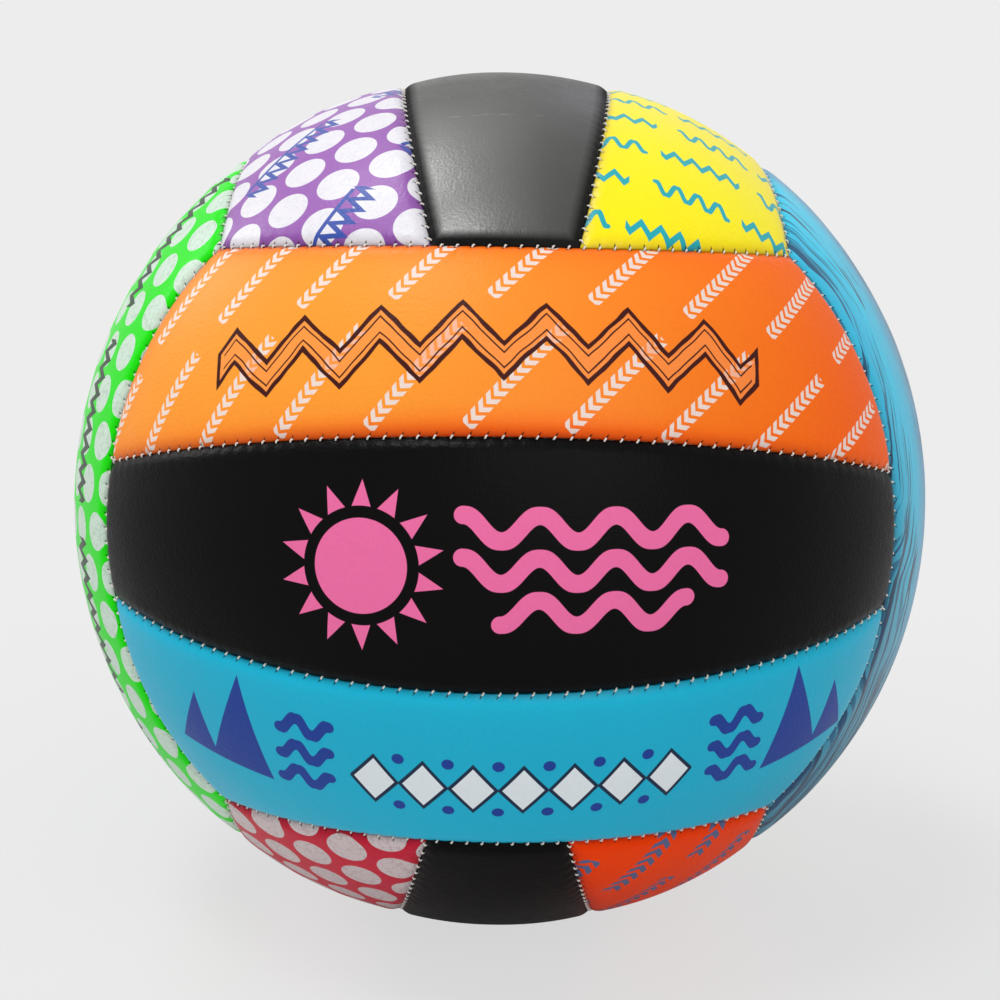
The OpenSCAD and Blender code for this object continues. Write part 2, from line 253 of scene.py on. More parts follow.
class Form:
    """A closed mesh in the making, on one strip of one face."""

    def __init__(self, face, strip):
        turn, strips = FACES[face]
        self.name = f"{face}_{strips[strip]}"
        self.strip = strip
        self.seed = list(FACES).index(face) * len(strips) + strip
        self.matrix = np.array(Euler(map(math.radians, turn)).to_matrix())
        self.hole = face == VALVE_FACE and strip == MIDDLE
        self.places = []
        self.radii = []
        self.faces = []
        self.count = 0

    def add(self, places, radii):
        """Adds points and returns their numbers."""
        places = places.reshape(-1, 3)
        self.places.append(places)
        self.radii.append(np.broadcast_to(radii, len(places)))
        self.count += len(places)
        return np.arange(self.count - len(places), self.count)

    def cells(self, coarse):
        return CELLS_ALONG // coarse, CELLS_ACROSS[self.strip] // coarse

    def ring(self, inset, radius_of, coarse=1):
        """A loop of points all round the strip, at one distance from its seams."""
        columns, rows = self.cells(coarse)
        run = np.linspace(-1, 1, columns, endpoint=False)
        share = np.linspace(0, 1, rows, endpoint=False)
        shares = np.concatenate([0 * run, share, 1 + 0 * run, 1 - share])
        runs = np.concatenate([run, 1 + 0 * share, -run, -1 + 0 * share])
        places = direction(self.strip, shares, runs, inset)
        return self.add(places, radius_of(places))

    def join(self, outer, inner):
        """Faces between two loops, where one may have half as many points as the other."""
        if len(outer) == len(inner):
            self.faces += np.stack([outer, np.roll(outer, -1), np.roll(inner, -1), inner], 1).tolist()
            return
        coarse, fine = sorted((outer, inner), key=len)
        after = np.roll(coarse, -1)
        first, middle, last = fine[::2], fine[1::2], np.roll(fine, -2)[::2]
        corners = [(first, middle, coarse), (middle, after, coarse), (middle, last, after)]
        for corner in corners:
            self.faces += np.stack(corner if fine is outer else corner[::-1], 1).tolist()

    def grid(self, inset, radius_of, coarse, outside):
        """The middle of a layer. Returns its border and, where the valve is, the loop round the hole."""
        columns, rows = self.cells(coarse)
        share, run = np.meshgrid(np.linspace(0, 1, rows + 1), np.linspace(-1, 1, columns + 1), indexing="ij")
        places = direction(self.strip, share.ravel(), run.ravel(), inset)
        table = self.add(places, radius_of(places)).reshape(rows + 1, columns + 1)
        keep = np.ones((rows, columns), bool)
        top, left = rows // 2 - HOLE_CELLS, columns // 2 - HOLE_CELLS
        bottom, right = top + 2 * HOLE_CELLS, left + 2 * HOLE_CELLS
        if self.hole:
            keep[top:bottom, left:right] = False
        quads = np.stack([table[:-1, :-1], table[:-1, 1:], table[1:, 1:], table[1:, :-1]], -1)[keep]
        self.faces += (quads if outside else quads[:, ::-1]).tolist()
        border = loop_of(table)
        if not self.hole:
            return border, None
        block = table[top:bottom + 1, left:right + 1]
        return border, self.round_hole(loop_of(block), radius_of, outside)

    def round_hole(self, loop, radius_of, outside):
        """Loops that turn a square opening into the valve's round one."""
        square = np.concatenate(self.places)[loop]
        angle = np.arctan2(square[:, 2], square[:, 0])
        radius = float(np.min(radius_of(square)))
        circle = np.stack([np.cos(angle), 0 * angle, np.sin(angle)], 1) * HOLE_R / radius
        circle[:, 1] = math.sqrt(1 - (HOLE_R / radius) ** 2)
        for share in HOLE_STEP_SHARES:
            places = square + (circle - square) * share
            places /= np.linalg.norm(places, axis=1, keepdims=True)
            after = self.add(places, radius_of(places))
            if outside:
                self.join(loop, after)
            else:
                self.join(after, loop)
            loop = after
        return loop

    def close_hole(self, upper, lower):
        if self.hole:
            self.join(upper, lower)

    def made(self, suffix):
        """The mesh as an object, with its print coordinates and its places beside the seams and stitches."""
        places = np.concatenate(self.places)
        points = np.concatenate(self.radii)[:, None] * places * (1, -1, 1)
        piece = mesh_piece(f"{self.name}_{suffix}", points @ self.matrix.T, self.faces)
        mesh = piece.data
        corners = np.empty(len(mesh.loops), np.int32)
        mesh.loops.foreach_get("vertex_index", corners)
        flat = print_place(self.strip, places)[corners]
        mesh.uv_layers.new(name="print").uv.foreach_set("vector", flat.astype(np.float32).ravel())
        for name, measure in (("seam_mm", seam_distance), ("stitch_place", stitch_place)):
            values = mesh.attributes.new(name, "FLOAT", "POINT").data
            values.foreach_set("value", measure(self.strip, places).astype(np.float32))
        return piece


def loop_of(table):
    """The border of a table of point numbers, in the order of a ring."""
    return np.concatenate([table[0, :-1], table[:-1, -1], table[-1, :0:-1], table[:0:-1, 0]])


def mesh_piece(name, points, faces):
    """A smooth mesh object from points in millimetres."""
    mesh = bpy.data.meshes.new(name)
    mesh.from_pydata((points * MM).tolist(), [], faces)
    mesh.validate()
    mesh.shade_smooth()
    piece = bpy.data.objects.new(name, mesh)
    bpy.context.scene.collection.objects.link(piece)
    return piece


def hole_fall(places, radius):
    """The panel's edge rolls in a little at the valve's hole."""
    aside = np.hypot(places[:, 0], places[:, 2]) * radius
    return HOLE_ROLL * fall_share(np.maximum(0, aside - HOLE_R), HOLE_ROLL_W)


def skin(face, strip):
    """One leather panel: its crowned face, its edge turned in at the seams, and its underside."""
    form = Form(face, strip)

    def outer(places):
        radius = crown(strip, places) + sewn(strip, places, form.seed)
        return radius - hole_fall(places, BALL_R) if form.hole else radius

    def inner(places):
        return crown(strip, places) - SKIN_T

    first = form.ring(EDGE_STEPS[0], outer)
    ring = first
    for inset in EDGE_STEPS[1:]:
        after = form.ring(inset, outer)
        form.join(ring, after)
        ring = after
    after = form.ring(COARSE_STEPS[0], outer, COARSE // 2)
    form.join(ring, after)
    border, upper_hole = form.grid(COARSE_STEPS[1], outer, COARSE, True)
    form.join(after, border)

    def hem(places):
        return LINING_OUT_R + 0 * places[:, 0]

    wall = form.ring(EDGE_STEPS[0], hem, COARSE // 2)
    form.join(wall, first)
    foot = form.ring(EDGE_STEPS[0] + SKIN_T, hem, COARSE)
    form.join(foot, wall)
    under, lower_hole = form.grid(EDGE_STEPS[0] + 2 * SKIN_T, inner, COARSE, False)
    form.join(under, foot)
    form.close_hole(upper_hole, lower_hole)
    return form.made("panel")


def padding(face, strip):
    """The foam under one panel, which thins out towards the seams."""
    form = Form(face, strip)
    edge = EDGE_STEPS[0] + 2 * SKIN_T + GLUE_T

    def top(places):
        full = crown(strip, places) - SKIN_T - GLUE_T
        rise = np.clip((seam_distance(strip, places) - edge) / (ROLL_W / 2), 0, 1)
        low = FOAM_IN_R + FOAM_RIM_T
        return low + (full - low) * np.sqrt(rise)

    def bottom(places):
        return FOAM_IN_R + 0 * places[:, 0]

    ring = form.ring(edge, top, COARSE)
    first = ring
    for inset in (edge + ROLL_W / 12, edge + ROLL_W / 4, edge + ROLL_W / 2, edge + ROLL_W):
        after = form.ring(inset, top, COARSE)
        form.join(ring, after)
        ring = after
    border, upper_hole = form.grid(edge + 2 * ROLL_W, top, COARSE, True)
    form.join(ring, border)
    under, lower_hole = form.grid(edge, bottom, COARSE, False)
    form.join(under, first)
    form.close_hole(upper_hole, lower_hole)
    return form.made("padding")


def lining(face, strip):
    """The cloth under one pad."""
    form = Form(face, strip)
    edge = EDGE_STEPS[0] + 2 * SKIN_T

    def top(places):
        return LINING_OUT_R - GLUE_T / 3 + 0 * places[:, 0]

    def bottom(places):
        return LINING_OUT_R - LINING_T + 0 * places[:, 0]

    border, upper_hole = form.grid(edge, top, COARSE, True)
    under, lower_hole = form.grid(edge, bottom, COARSE, False)
    form.join(under, border)
    form.close_hole(upper_hole, lower_hole)
    return form.made("cloth")


def stitch_path(circle_r, circle_share, lean, count, pitch):
    """The way of one seam's thread: over the seam at each stitch, and back under it to the next."""
    level = BALL_R - CROWN_DROP - ROLL_DROP
    over = level + THREAD_LIFT_SHARE * THREAD_R
    under = level - THREAD_DEPTH_SHARE * THREAD_R
    down = list(zip(STITCH_SHARES, (over, over - THREAD_R, level, under)))
    steps = [(-reach, radius) for reach, radius in down[::-1]] + [(0, over + THREAD_R / 4)] + down
    path = []
    for number in range(count):
        middle = (number - (count - 1) / 2) * pitch
        for reach, radius in steps:
            along = (middle + reach * STITCH_SLANT) / circle_r
            aside = reach * STITCH_REACH / BALL_R
            height = math.asin(circle_share) + aside
            point = Vector((math.sin(along) * math.cos(height), math.cos(along) * math.cos(height),
                            math.sin(height))) * radius
            turned = Vector((point[0], point[1] * math.cos(lean) - point[2] * math.sin(lean),
                             point[1] * math.sin(lean) + point[2] * math.cos(lean)))
            path.append(Vector((turned[0], -turned[1], turned[2])))
    return path


def stitches(face):
    """The thread of the two long edges of a face and of its two inner seams."""
    matrix = Euler(map(math.radians, FACES[face][0])).to_matrix()
    curve = bpy.data.curves.new("thread_way", "CURVE")
    curve.dimensions = "3D"
    curve.bevel_depth = THREAD_R * MM
    curve.bevel_resolution = 1
    curve.resolution_u = 2
    curve.use_fill_caps = True
    for side in (-1, 1):
        outer = stitch_path(OUTER_CIRCLE_R, side * CORNER_SHARE, 0, OUTER_STITCHES, OUTER_PITCH)
        inner = stitch_path(BALL_R, 0, side * STRIP_TILT, INNER_STITCHES, INNER_PITCH)
        for path in (outer, inner):
            spline = curve.splines.new("NURBS")
            spline.points.add(len(path) - 1)
            spline.order_u = 3
            spline.use_endpoint_u = True
            for point, place in zip(spline.points, path):
                point.co = (*(matrix @ place * MM), 1)
    way = bpy.data.objects.new("thread_way", curve)
    mesh = bpy.data.meshes.new_from_object(way)
    bpy.data.objects.remove(way)
    piece = bpy.data.objects.new(f"{face}_stitches", mesh)
    mesh.shade_smooth()
    bpy.context.scene.collection.objects.link(piece)
    return piece


# Materials


def srgb(red, green, blue):
    """A linear colour from values of 0 to 255."""
    values = [value / 255 for value in (red, green, blue)]
    return (*[v / 12.92 if v <= 0.04045 else ((v + 0.055) / 1.055) ** 2.4 for v in values], 1)


class Term:
    """One value of a node tree. Arithmetic on it adds Math nodes."""

    def __init__(self, tree, socket):
        self.tree = tree
        self.socket = socket

    def math(self, operation, *others, clamp=False):
        node = self.tree.nodes.new("ShaderNodeMath")
        node.operation = operation
        node.use_clamp = clamp
        for slot, value in zip(node.inputs, (self, *others)):
            if isinstance(value, Term):
                self.tree.links.new(value.socket, slot)
            else:
                slot.default_value = value
        return Term(self.tree, node.outputs[0])

    def __add__(self, other):
        return self.math("ADD", other)

    def __radd__(self, other):
        return self.math("ADD", other)

    def __sub__(self, other):
        return self.math("SUBTRACT", other)

    def __rsub__(self, other):
        return self.math("MULTIPLY_ADD", -1.0, other)

    def __mul__(self, other):
        return self.math("MULTIPLY", other)

    def __truediv__(self, other):
        return self.math("DIVIDE", other)

    def __neg__(self):
        return self.math("MULTIPLY", -1.0)

    def __abs__(self):
        return self.math("ABSOLUTE")

    def floor(self):
        return self.math("FLOOR")

    def fract(self):
        return self.math("FRACT")

    def sin(self):
        return self.math("SINE")

    def exp(self):
        return self.math("EXPONENT")

    def root(self):
        return self.math("SQRT")

    def larger(self, other):
        return self.math("MAXIMUM", other)

    def smaller(self, other):
        return self.math("MINIMUM", other)

    def clamped(self):
        return self.math("ADD", 0.0, clamp=True)

    def ramp(self, start, end):
        """Grows from 0 at one value to 1 at another, and stays there."""
        return ((self - start) / (end - start)).clamped()


INK_EDGE = 0.12


def inside(distance):
    """1 where a distance in millimetres is below 0, with a soft edge."""
    return distance.math("MULTIPLY_ADD", -1 / INK_EDGE, 0.5, clamp=True)


class Surface:
    """A material in the making: its coordinates, its colour and its relief."""

    def __init__(self, name, colour):
        self.material = bpy.data.materials.new(name)
        self.material.use_nodes = True
        self.tree = self.material.node_tree
        self.shader = self.tree.nodes["Principled BSDF"]
        self.object_place = self.tree.nodes.new("ShaderNodeTexCoord").outputs["Object"]
        self.colour = None
        self.start = colour

    def print_terms(self):
        """The flat coordinates along and across the strip, in millimetres."""
        node = self.tree.nodes.new("ShaderNodeUVMap")
        node.uv_map = "print"
        split = self.tree.nodes.new("ShaderNodeSeparateXYZ")
        self.tree.links.new(node.outputs[0], split.inputs[0])
        return Term(self.tree, split.outputs[0]), Term(self.tree, split.outputs[1])

    def attribute(self, name):
        """A value that the mesh holds at each point."""
        node = self.tree.nodes.new("ShaderNodeAttribute")
        node.attribute_name = name
        return Term(self.tree, node.outputs["Fac"])

    def noise(self, size, detail=2.0, warp=0.0):
        """Soft noise of 0 to 1 with spots of about size millimetres."""
        node = self.tree.nodes.new("ShaderNodeTexNoise")
        self.tree.links.new(self.object_place, node.inputs["Vector"])
        node.inputs["Scale"].default_value = 1 / (size * MM)
        node.inputs["Detail"].default_value = detail
        node.inputs["Distortion"].default_value = warp
        return Term(self.tree, node.outputs["Fac"])

    def streaks(self, length, width):
        """Noise of 0 to 1 drawn out along the strip."""
        u, v = self.print_terms()
        join = self.tree.nodes.new("ShaderNodeCombineXYZ")
        self.tree.links.new((u / length).socket, join.inputs[0])
        self.tree.links.new((v / width).socket, join.inputs[1])
        node = self.tree.nodes.new("ShaderNodeTexNoise")
        self.tree.links.new(join.outputs[0], node.inputs["Vector"])
        node.inputs["Scale"].default_value = 1.0
        node.inputs["Distortion"].default_value = 0.6
        return Term(self.tree, node.outputs["Fac"])

    def pebbles(self, size):
        """The height of rounded grains about size millimetres across."""
        node = self.tree.nodes.new("ShaderNodeTexVoronoi")
        node.feature = "SMOOTH_F1"
        self.tree.links.new(self.object_place, node.inputs["Vector"])
        node.inputs["Scale"].default_value = 1 / (size * MM)
        node.inputs["Smoothness"].default_value = 0.6
        return 1 - Term(self.tree, node.outputs["Distance"])

    def mix(self, mask, colour, other):
        """colour where mask is 0 and other where it is 1."""
        node = self.tree.nodes.new("ShaderNodeMix")
        node.data_type = "RGBA"
        node.clamp_factor = True
        self.tree.links.new(mask.socket, node.inputs["Factor"])
        for slot, value in ((node.inputs[6], colour), (node.inputs[7], other)):
            if isinstance(value, tuple):
                slot.default_value = value
            else:
                self.tree.links.new(value, slot)
        return node.outputs[2]

    def paint(self, mask, colour):
        """Prints a colour where mask is 1."""
        under = self.start if self.colour is None else self.colour
        self.colour = self.mix(mask, under, colour)

    def shade(self, factor):
        """Multiplies the colour by a value."""
        scale = self.tree.nodes.new("ShaderNodeVectorMath")
        scale.operation = "SCALE"
        if self.colour is None:
            scale.inputs[0].default_value = self.start[:3]
        else:
            self.tree.links.new(self.colour, scale.inputs[0])
        self.tree.links.new(factor.socket, scale.inputs["Scale"])
        self.colour = scale.outputs[0]

    def finish(self, roughness, relief, depth, level):
        """Sets the shader: its roughness, its relief of depth millimetres and its specular level."""
        self.tree.links.new(self.colour, self.shader.inputs["Base Color"])
        self.tree.links.new(roughness.socket, self.shader.inputs["Roughness"])
        shine = self.shader.inputs["Specular IOR Level"]
        if isinstance(level, Term):
            self.tree.links.new(level.socket, shine)
        else:
            shine.default_value = level
        bump = self.tree.nodes.new("ShaderNodeBump")
        bump.inputs["Distance"].default_value = depth * MM
        self.tree.links.new(relief.socket, bump.inputs["Height"])
        self.tree.links.new(bump.outputs[0], self.shader.inputs["Normal"])
        return self.material


def turned(u, v, degrees):
    """Coordinates turned anticlockwise on the print."""
    cosine, sine = math.cos(math.radians(degrees)), math.sin(math.radians(degrees))
    return u * cosine + v * sine, v * cosine - u * sine


def in_rows(u, v, pitch, step, stagger):
    """Coordinates from the middle of each motif, where motifs lie step apart in rows pitch apart."""
    row = (v / pitch).floor()
    down = v - (row + 0.5) * pitch
    along = ((u / step + row * stagger).fract() - 0.5) * step
    return along, down


def in_box(s, t, length, height):
    return (abs(s) - length / 2).larger(abs(t) - height / 2)


def chevrons(s, t, length, height, period, slope=0.9):
    """Distance to a row of small chevrons."""
    phase = ((s - abs(t) * slope) / period).fract()
    stroke = (abs(phase - 0.5) - 0.29) * period
    return stroke.larger(in_box(s, t, length, height))


def ripple(s, t, bends, rise, period, width):
    """Distance to one wavy line with round ends, from crest to trough with some bends between."""
    half = (bends + 0.5) * period / 2
    held = s.larger(-half).smaller(half)
    turn = held * (2 * math.pi / period)
    steep = (turn + math.pi / 2).sin() * (rise * math.pi / period)
    across = (t - turn.sin() * (rise / 2)) / (steep * steep + 1).root()
    past = s - held
    return (across * across + past * past).root() - width / 2


def sharp_ripple(s, t, length, rise, period, width):
    """Distance to one zigzag line."""
    middle = s.math("PINGPONG", period / 2) * (2 * rise / period) - rise / 2
    across = (abs(t - middle)) * (1 / math.hypot(1, 2 * rise / period))
    return (across - width / 2).larger(abs(s) - length / 2)


def disc(s, t, radius):
    return (s * s + t * t).root() - radius


def lozenge(s, t, half_width, half_height):
    scale = half_width * half_height / math.hypot(half_width, half_height)
    return (abs(s) / half_width + abs(t) / half_height - 1) * scale


def pennant(s, t, half_width, height):
    """Distance to a triangle that stands on t = 0."""
    scale = half_width * height / math.hypot(half_width, height)
    return ((abs(s) / half_width + t / height - 1) * scale).larger(-t)


def sun(s, t, radius, rays, reach, width):
    """Distance to a disc with tapering rays round it."""
    far = (s * s + t * t).root()
    turn = t.math("ARCTAN2", s) * (rays / (2 * math.pi))
    aside = abs(turn.fract() - 0.5) * far * (2 * math.pi / rays)
    gap = radius * 1.25
    taper = (reach - far) * (width / 2 / (reach - gap))
    ray = (aside - taper).larger(gap - far)
    return (far - radius).smaller(ray)


# The prints
WHITE_INK = srgb(240, 220, 210)
PINK_INK = srgb(240, 112, 166)
NAVY_INK = srgb(24, 60, 150)
TEAL_INK = srgb(30, 170, 180)
SLATE_INK = srgb(92, 104, 140)
VIOLET_BLUE_INK = srgb(52, 78, 165)
DARK_GREEN_INK = srgb(20, 52, 24)
SCUFF = srgb(150, 148, 140)

# Where painted shade darkens the scuffed black panel across the strip, the middle of its scratch and that of
# its haze
DARK_SIDE = (-4, 16)
SCRATCH_PLACE = 60.5
HAZE_PLACE = (45, 17)

# Pitch, lean, strength and ink of each set of strands on the sky-blue strips
STRANDS = (
    (6.3, 0.3, 0.9, srgb(44, 74, 112)),
    (9.7, -0.6, 0.8, srgb(58, 44, 70)),
    (3.7, 0.6, 0.6, srgb(44, 74, 112)),
)


def print_orange(surface, u, v):
    """Rows of white chevrons under a hand-drawn ribbon. Painted shade makes the orange deeper towards one
    end and along its lower edge.
    """
    # Painted shade: deeper towards one end, away from the painted highlight of the pale base
    surface.paint(u.ramp(-25, 85), srgb(255, 98, 0))
    # Painted shade: deeper along the lower edge, which faces down
    low = v.ramp(-13, -20)
    surface.paint(low * low * 0.8, srgb(250, 78, 0))
    s, t = in_rows(*turned(u, v, 47), pitch=14.5, step=35, stagger=0.37)
    surface.paint(inside(chevrons(s, t, length=27, height=2.9, period=2.1)), WHITE_INK)
    leg, slope, half_width, half_length = 8.0, 1.05, 2.4, 56
    wobble = (surface.noise(7, detail=1) - 0.5) * 1.6
    middle = (u.math("PINGPONG", leg) - leg / 2) * slope
    aside = abs(v + 1.5 + wobble - middle) * (1 / math.hypot(1, slope))
    past_end = abs(u + 4) - half_length
    ribbon = (aside - half_width).larger(past_end)
    surface.paint(inside(ribbon) * 0.55, srgb(255, 150, 80))
    stroke = 0.28 + surface.noise(4, detail=1) * 0.35
    inner_line = (abs(aside - 1.1) - 0.16).larger(past_end + 1.3)
    surface.paint(inside((abs(ribbon) - stroke).smaller(inner_line)), srgb(66, 22, 18))


def print_sun(surface, u, v, sun_place=-27, wave_place=18, bends=(3, 3, 2)):
    """A sun beside three waves."""
    shape = sun(u - sun_place, v, radius=9.2, rays=14, reach=16.5, width=3.8)
    for place, turns in zip((8, 0, -8), bends):
        wave = ripple(u - wave_place, v - place, turns, rise=4.8, period=14.5, width=3.4)
        shape = shape.smaller(wave)
    surface.paint(inside(shape), PINK_INK)


def print_wide_sun(surface, u, v):
    """The same, with the valve between the sun and the waves."""
    print_sun(surface, u, v, sun_place=-42, wave_place=42, bends=(2, 2, 1))


def print_cyan(surface, u, v):
    """Dark-blue pennants and waves beside a row of pale lozenges and small dots."""
    along = u - 5
    side = abs(along)
    shape = pennant(side - 61, v + 10, half_width=8, height=24)
    shape = shape.smaller(pennant(side - 73, v + 10, half_width=5.5, height=15))
    for place in (-6, 0.5, 7):
        shape = shape.smaller(ripple(side - 45, v - place, 1, rise=3, period=7.25, width=2.6))
    step = 10
    s = ((along / step + 0.5).fract() - 0.5) * step
    between = ((along / step).fract() - 0.5) * step
    past_end = side - 3.5 * step
    dots = disc(between, abs(v + 2) - 6.2, radius=1.25).larger(side - 3 * step)
    surface.paint(inside(shape.smaller(dots)), NAVY_INK)
    rim = lozenge(s, v + 2, half_width=5.2, half_height=6.6)
    middle = lozenge(s, v + 2, half_width=4.2, half_height=5.4)
    surface.paint(inside(rim.larger(past_end)), srgb(18, 40, 70))
    surface.paint(inside(middle.larger(past_end)), srgb(228, 236, 240))


def print_dots(surface, u, v, radius, dot, speckle):
    """Staggered dots, each with faint marks on it."""
    s, t = in_rows(v, u, pitch=10.2, step=11.8, stagger=0.5)
    mask = inside(disc(s, t, radius))
    surface.paint(mask, dot)
    faint = inside(abs((surface.noise(2.2, detail=1) - 0.5) * 8) - 0.25) * mask
    surface.paint(faint * 0.3, speckle)


def print_purple(surface, u, v):
    """Pale dots, and a few underlined blue zigzags over them."""
    print_dots(surface, u + 2, v + 1, radius=4.75, dot=srgb(228, 226, 232), speckle=srgb(206, 202, 218))
    s, t = in_rows(*turned(u + 9, v + 3, -52), pitch=30, step=42, stagger=0.5)
    zigzag = sharp_ripple(s, t, length=29, rise=4.4, period=3.4, width=1.1)
    underline = in_box(s, t + 3.3, length=26, height=1.0)
    surface.paint(inside(zigzag.smaller(underline)), VIOLET_BLUE_INK)


def print_red(surface, u, v):
    print_dots(surface, u, v + 2, radius=4.6, dot=srgb(214, 198, 199), speckle=srgb(170, 124, 128))


def print_green(surface, u, v):
    """Pale dots, and a row of dark zigzags along one edge."""
    print_dots(surface, u + 4, v + 2, radius=4.35, dot=srgb(208, 228, 212), speckle=srgb(140, 180, 150))
    s, t = in_rows(u, v + 19.5, pitch=45, step=46, stagger=0)
    surface.paint(inside(sharp_ripple(s, t, length=38, rise=5.2, period=4.0, width=1.7)), DARK_GREEN_INK)


def print_yellow(surface, u, v):
    """Rows of teal waves and zigzags."""
    s, t = in_rows(*turned(u, v, 102), pitch=13.5, step=45, stagger=0.42)
    wave = ripple(s + 11, t, 3, rise=3.4, period=4.8, width=1.3)
    zigzag = sharp_ripple(s - 10.5, t, length=19, rise=3.0, period=4.2, width=1.3)
    surface.paint(inside(wave.smaller(zigzag)), TEAL_INK)


def print_vermilion(surface, u, v):
    """Slanted rows of slate-blue chevrons."""
    s, t = in_rows(*turned(u, v, -48), pitch=13.5, step=37, stagger=0.4)
    surface.paint(inside(chevrons(s, t, length=28, height=4.6, period=3.2)), SLATE_INK)


def print_sky(surface, u, v):
    """Long strands that flow along the strip and part and meet again, with painted shade on the far side."""
    bend = (surface.streaks(length=46, width=30) - 0.5) * 17
    flow = v + bend + (u * (math.pi / 62)).sin() * 5
    pale = ((flow + bend * 0.6) / 3.1).sin() * 0.5 + 0.5
    surface.paint(pale * pale * 0.35, srgb(96, 190, 224))
    deep = ((flow - bend * 0.8) / 5.3).sin() * 0.5 + 0.5
    surface.paint(deep * deep * deep * 0.4, srgb(66, 160, 206))
    # Painted shade: greyer and darker over the far side of the strip
    surface.paint((v + bend * 0.4).ramp(-10, 1) * 0.7, srgb(92, 146, 186))
    dense = (u / 55 - v / 26 - 0.05).clamped()
    surface.paint(dense * 0.7, srgb(78, 122, 144))
    from_middle = (v + 3) / 6
    calm = (from_middle * from_middle * -1.0).exp() * (0.8 - dense) * 0.3
    for pitch, lean, strength, ink in STRANDS:
        line = ((flow + bend * lean) / pitch).fract()
        thick = surface.streaks(length=26, width=7 + pitch) - 0.4 + dense * 0.14 - calm
        half_width = thick.larger(0) * 2.6
        surface.paint(inside(abs(line - 0.5) * pitch - half_width) * strength, ink)


def print_scratch_and_sheen(surface, u, v):
    """Painted shade on one side and a painted highlight on one corner, a faint broken scratch and a hazy
    patch behind it.
    """
    # Painted shade: darker towards one side
    surface.paint(v.ramp(*DARK_SIDE) * 0.7, srgb(30, 30, 29))
    # Painted highlight: paler towards one corner, away from the seams
    away_from_seam = surface.attribute("seam_mm").ramp(2, 6)
    surface.paint(u.ramp(50, 70) * v.ramp(8, -16) * away_from_seam * 0.9, srgb(98, 98, 93))
    wave = (surface.noise(9, detail=1) - 0.5) * 2.4
    line = inside(abs(u - SCRATCH_PLACE + wave + v * 0.03) - 0.1) * inside(abs(v + 3) - 14)
    broken = ((surface.noise(2.6, detail=1) - 0.42) * 5).clamped()
    surface.paint(line * broken * 0.8, SCUFF)
    s, t = (u - HAZE_PLACE[0]) / 13, (v - HAZE_PLACE[1]) / 8
    haze = ((s * s + t * t) * -1.0).exp()
    surface.paint(haze * (0.25 + surface.noise(1.1) * 0.6), srgb(84, 85, 92))


# Leather, in millimetres: how far its painted edge shade, the scuffed panel's painted dark margin and the
# painted shade in the seam's crease reach from the seam, and the sizes of its clouds, creases, specks, grain
# and pores
EDGE_SHADING_REACH = 2.6
SHADED_MARGIN = (3.52, 1.32)
CREASE_SHADE_REACH = 0.55
CLOUD = 30
CREASE = 3.4
SPECK = 0.9
GRAIN = 0.62
PORE = 0.3


def leather(name, colour, ink=None, deep=None, level=0.26, wear_and_shade=False):
    """Soft grained leather: printed, with painted shade along the seams, in their creases and in the stitch
    holes; along the cyan's seams the painted edge is lighter, a painted highlight.
    """
    surface = Surface(name, colour)
    u, v = surface.print_terms()
    seam = surface.attribute("seam_mm")
    # Painted shade along the seams, lighter on the cyan as a painted highlight; the scuffed black panel gets
    # a painted dark margin
    margin = seam.ramp(*SHADED_MARGIN) if wear_and_shade else (seam / -EDGE_SHADING_REACH).exp() * 0.75
    surface.paint(margin, deep or colour)
    if wear_and_shade:
        side = v.ramp(*DARK_SIDE)
        level = (u.ramp(38, 63) * 0.75 + 0.25) * (1 - side * 0.3) * (1 - margin * 0.9)
    if ink:
        ink(surface, u, v)
    cloud = surface.noise(CLOUD, detail=3)
    specks = surface.noise(SPECK)
    creases = surface.noise(CREASE, detail=4, warp=1.2)
    surface.shade(0.98 + (cloud - 0.5) * 0.07 + (specks - 0.5) * 0.07)
    # Painted shade in the seam's crease
    surface.shade(1 - (seam / -CREASE_SHADE_REACH).exp() * 0.55)
    # Painted shade in the hole beside each stitch
    surface.shade(1 - stitch_hole_shade(surface, seam) * 0.85)
    grain = surface.pebbles(GRAIN)
    streaks = surface.streaks(3, 0.5) * 0.5 if wear_and_shade else surface.streaks(5, 0.8) * 0.7
    relief = grain * 0.75 + surface.noise(PORE) * 0.3 + creases * 0.5 + streaks
    edge = margin * 0.2 if wear_and_shade else (seam / -4.0).exp() * -0.07
    roughness = 0.33 + (cloud - 0.5) * 0.12 + (creases - 0.5) * 0.12 + edge + (1 - grain) * 0.05
    return surface.finish(roughness.clamped(), relief, depth=0.04 if wear_and_shade else 0.06, level=level)


def stitch_hole_shade(surface, seam):
    """1 in the oval beside the seam at each stitch, where the thread dives into the leather, which takes
    painted shade.
    """
    along = ((surface.attribute("stitch_place") + 0.5).fract() - 0.5) * (INNER_PITCH / NOTCH_HALF_W)
    aside = (seam - NOTCH_HALF_L) / NOTCH_HALF_L
    return inside(((along * along + aside * aside).root() - 1) * NOTCH_HALF_W)


def foam_material():
    surface = Surface("closed_cell_foam", srgb(236, 234, 226))
    cells = surface.pebbles(0.8)
    surface.shade(0.9 + cells * 0.12)
    return surface.finish(0.8 + surface.noise(5) * 0.15, cells, depth=0.15, level=0.25)


def cloth_material():
    """Plain weave, with a thread each way every half millimetre."""
    surface = Surface("lining_cloth", srgb(222, 216, 200))
    u, v = surface.print_terms()
    weave = (u * (2 * math.pi)).sin() * (v * (2 * math.pi)).sin() * 0.5 + 0.5
    surface.shade(0.86 + weave * 0.12 + (surface.noise(6) - 0.5) * 0.1)
    return surface.finish(0.85 + surface.noise(3) * 0.1, weave, depth=0.12, level=0.2)


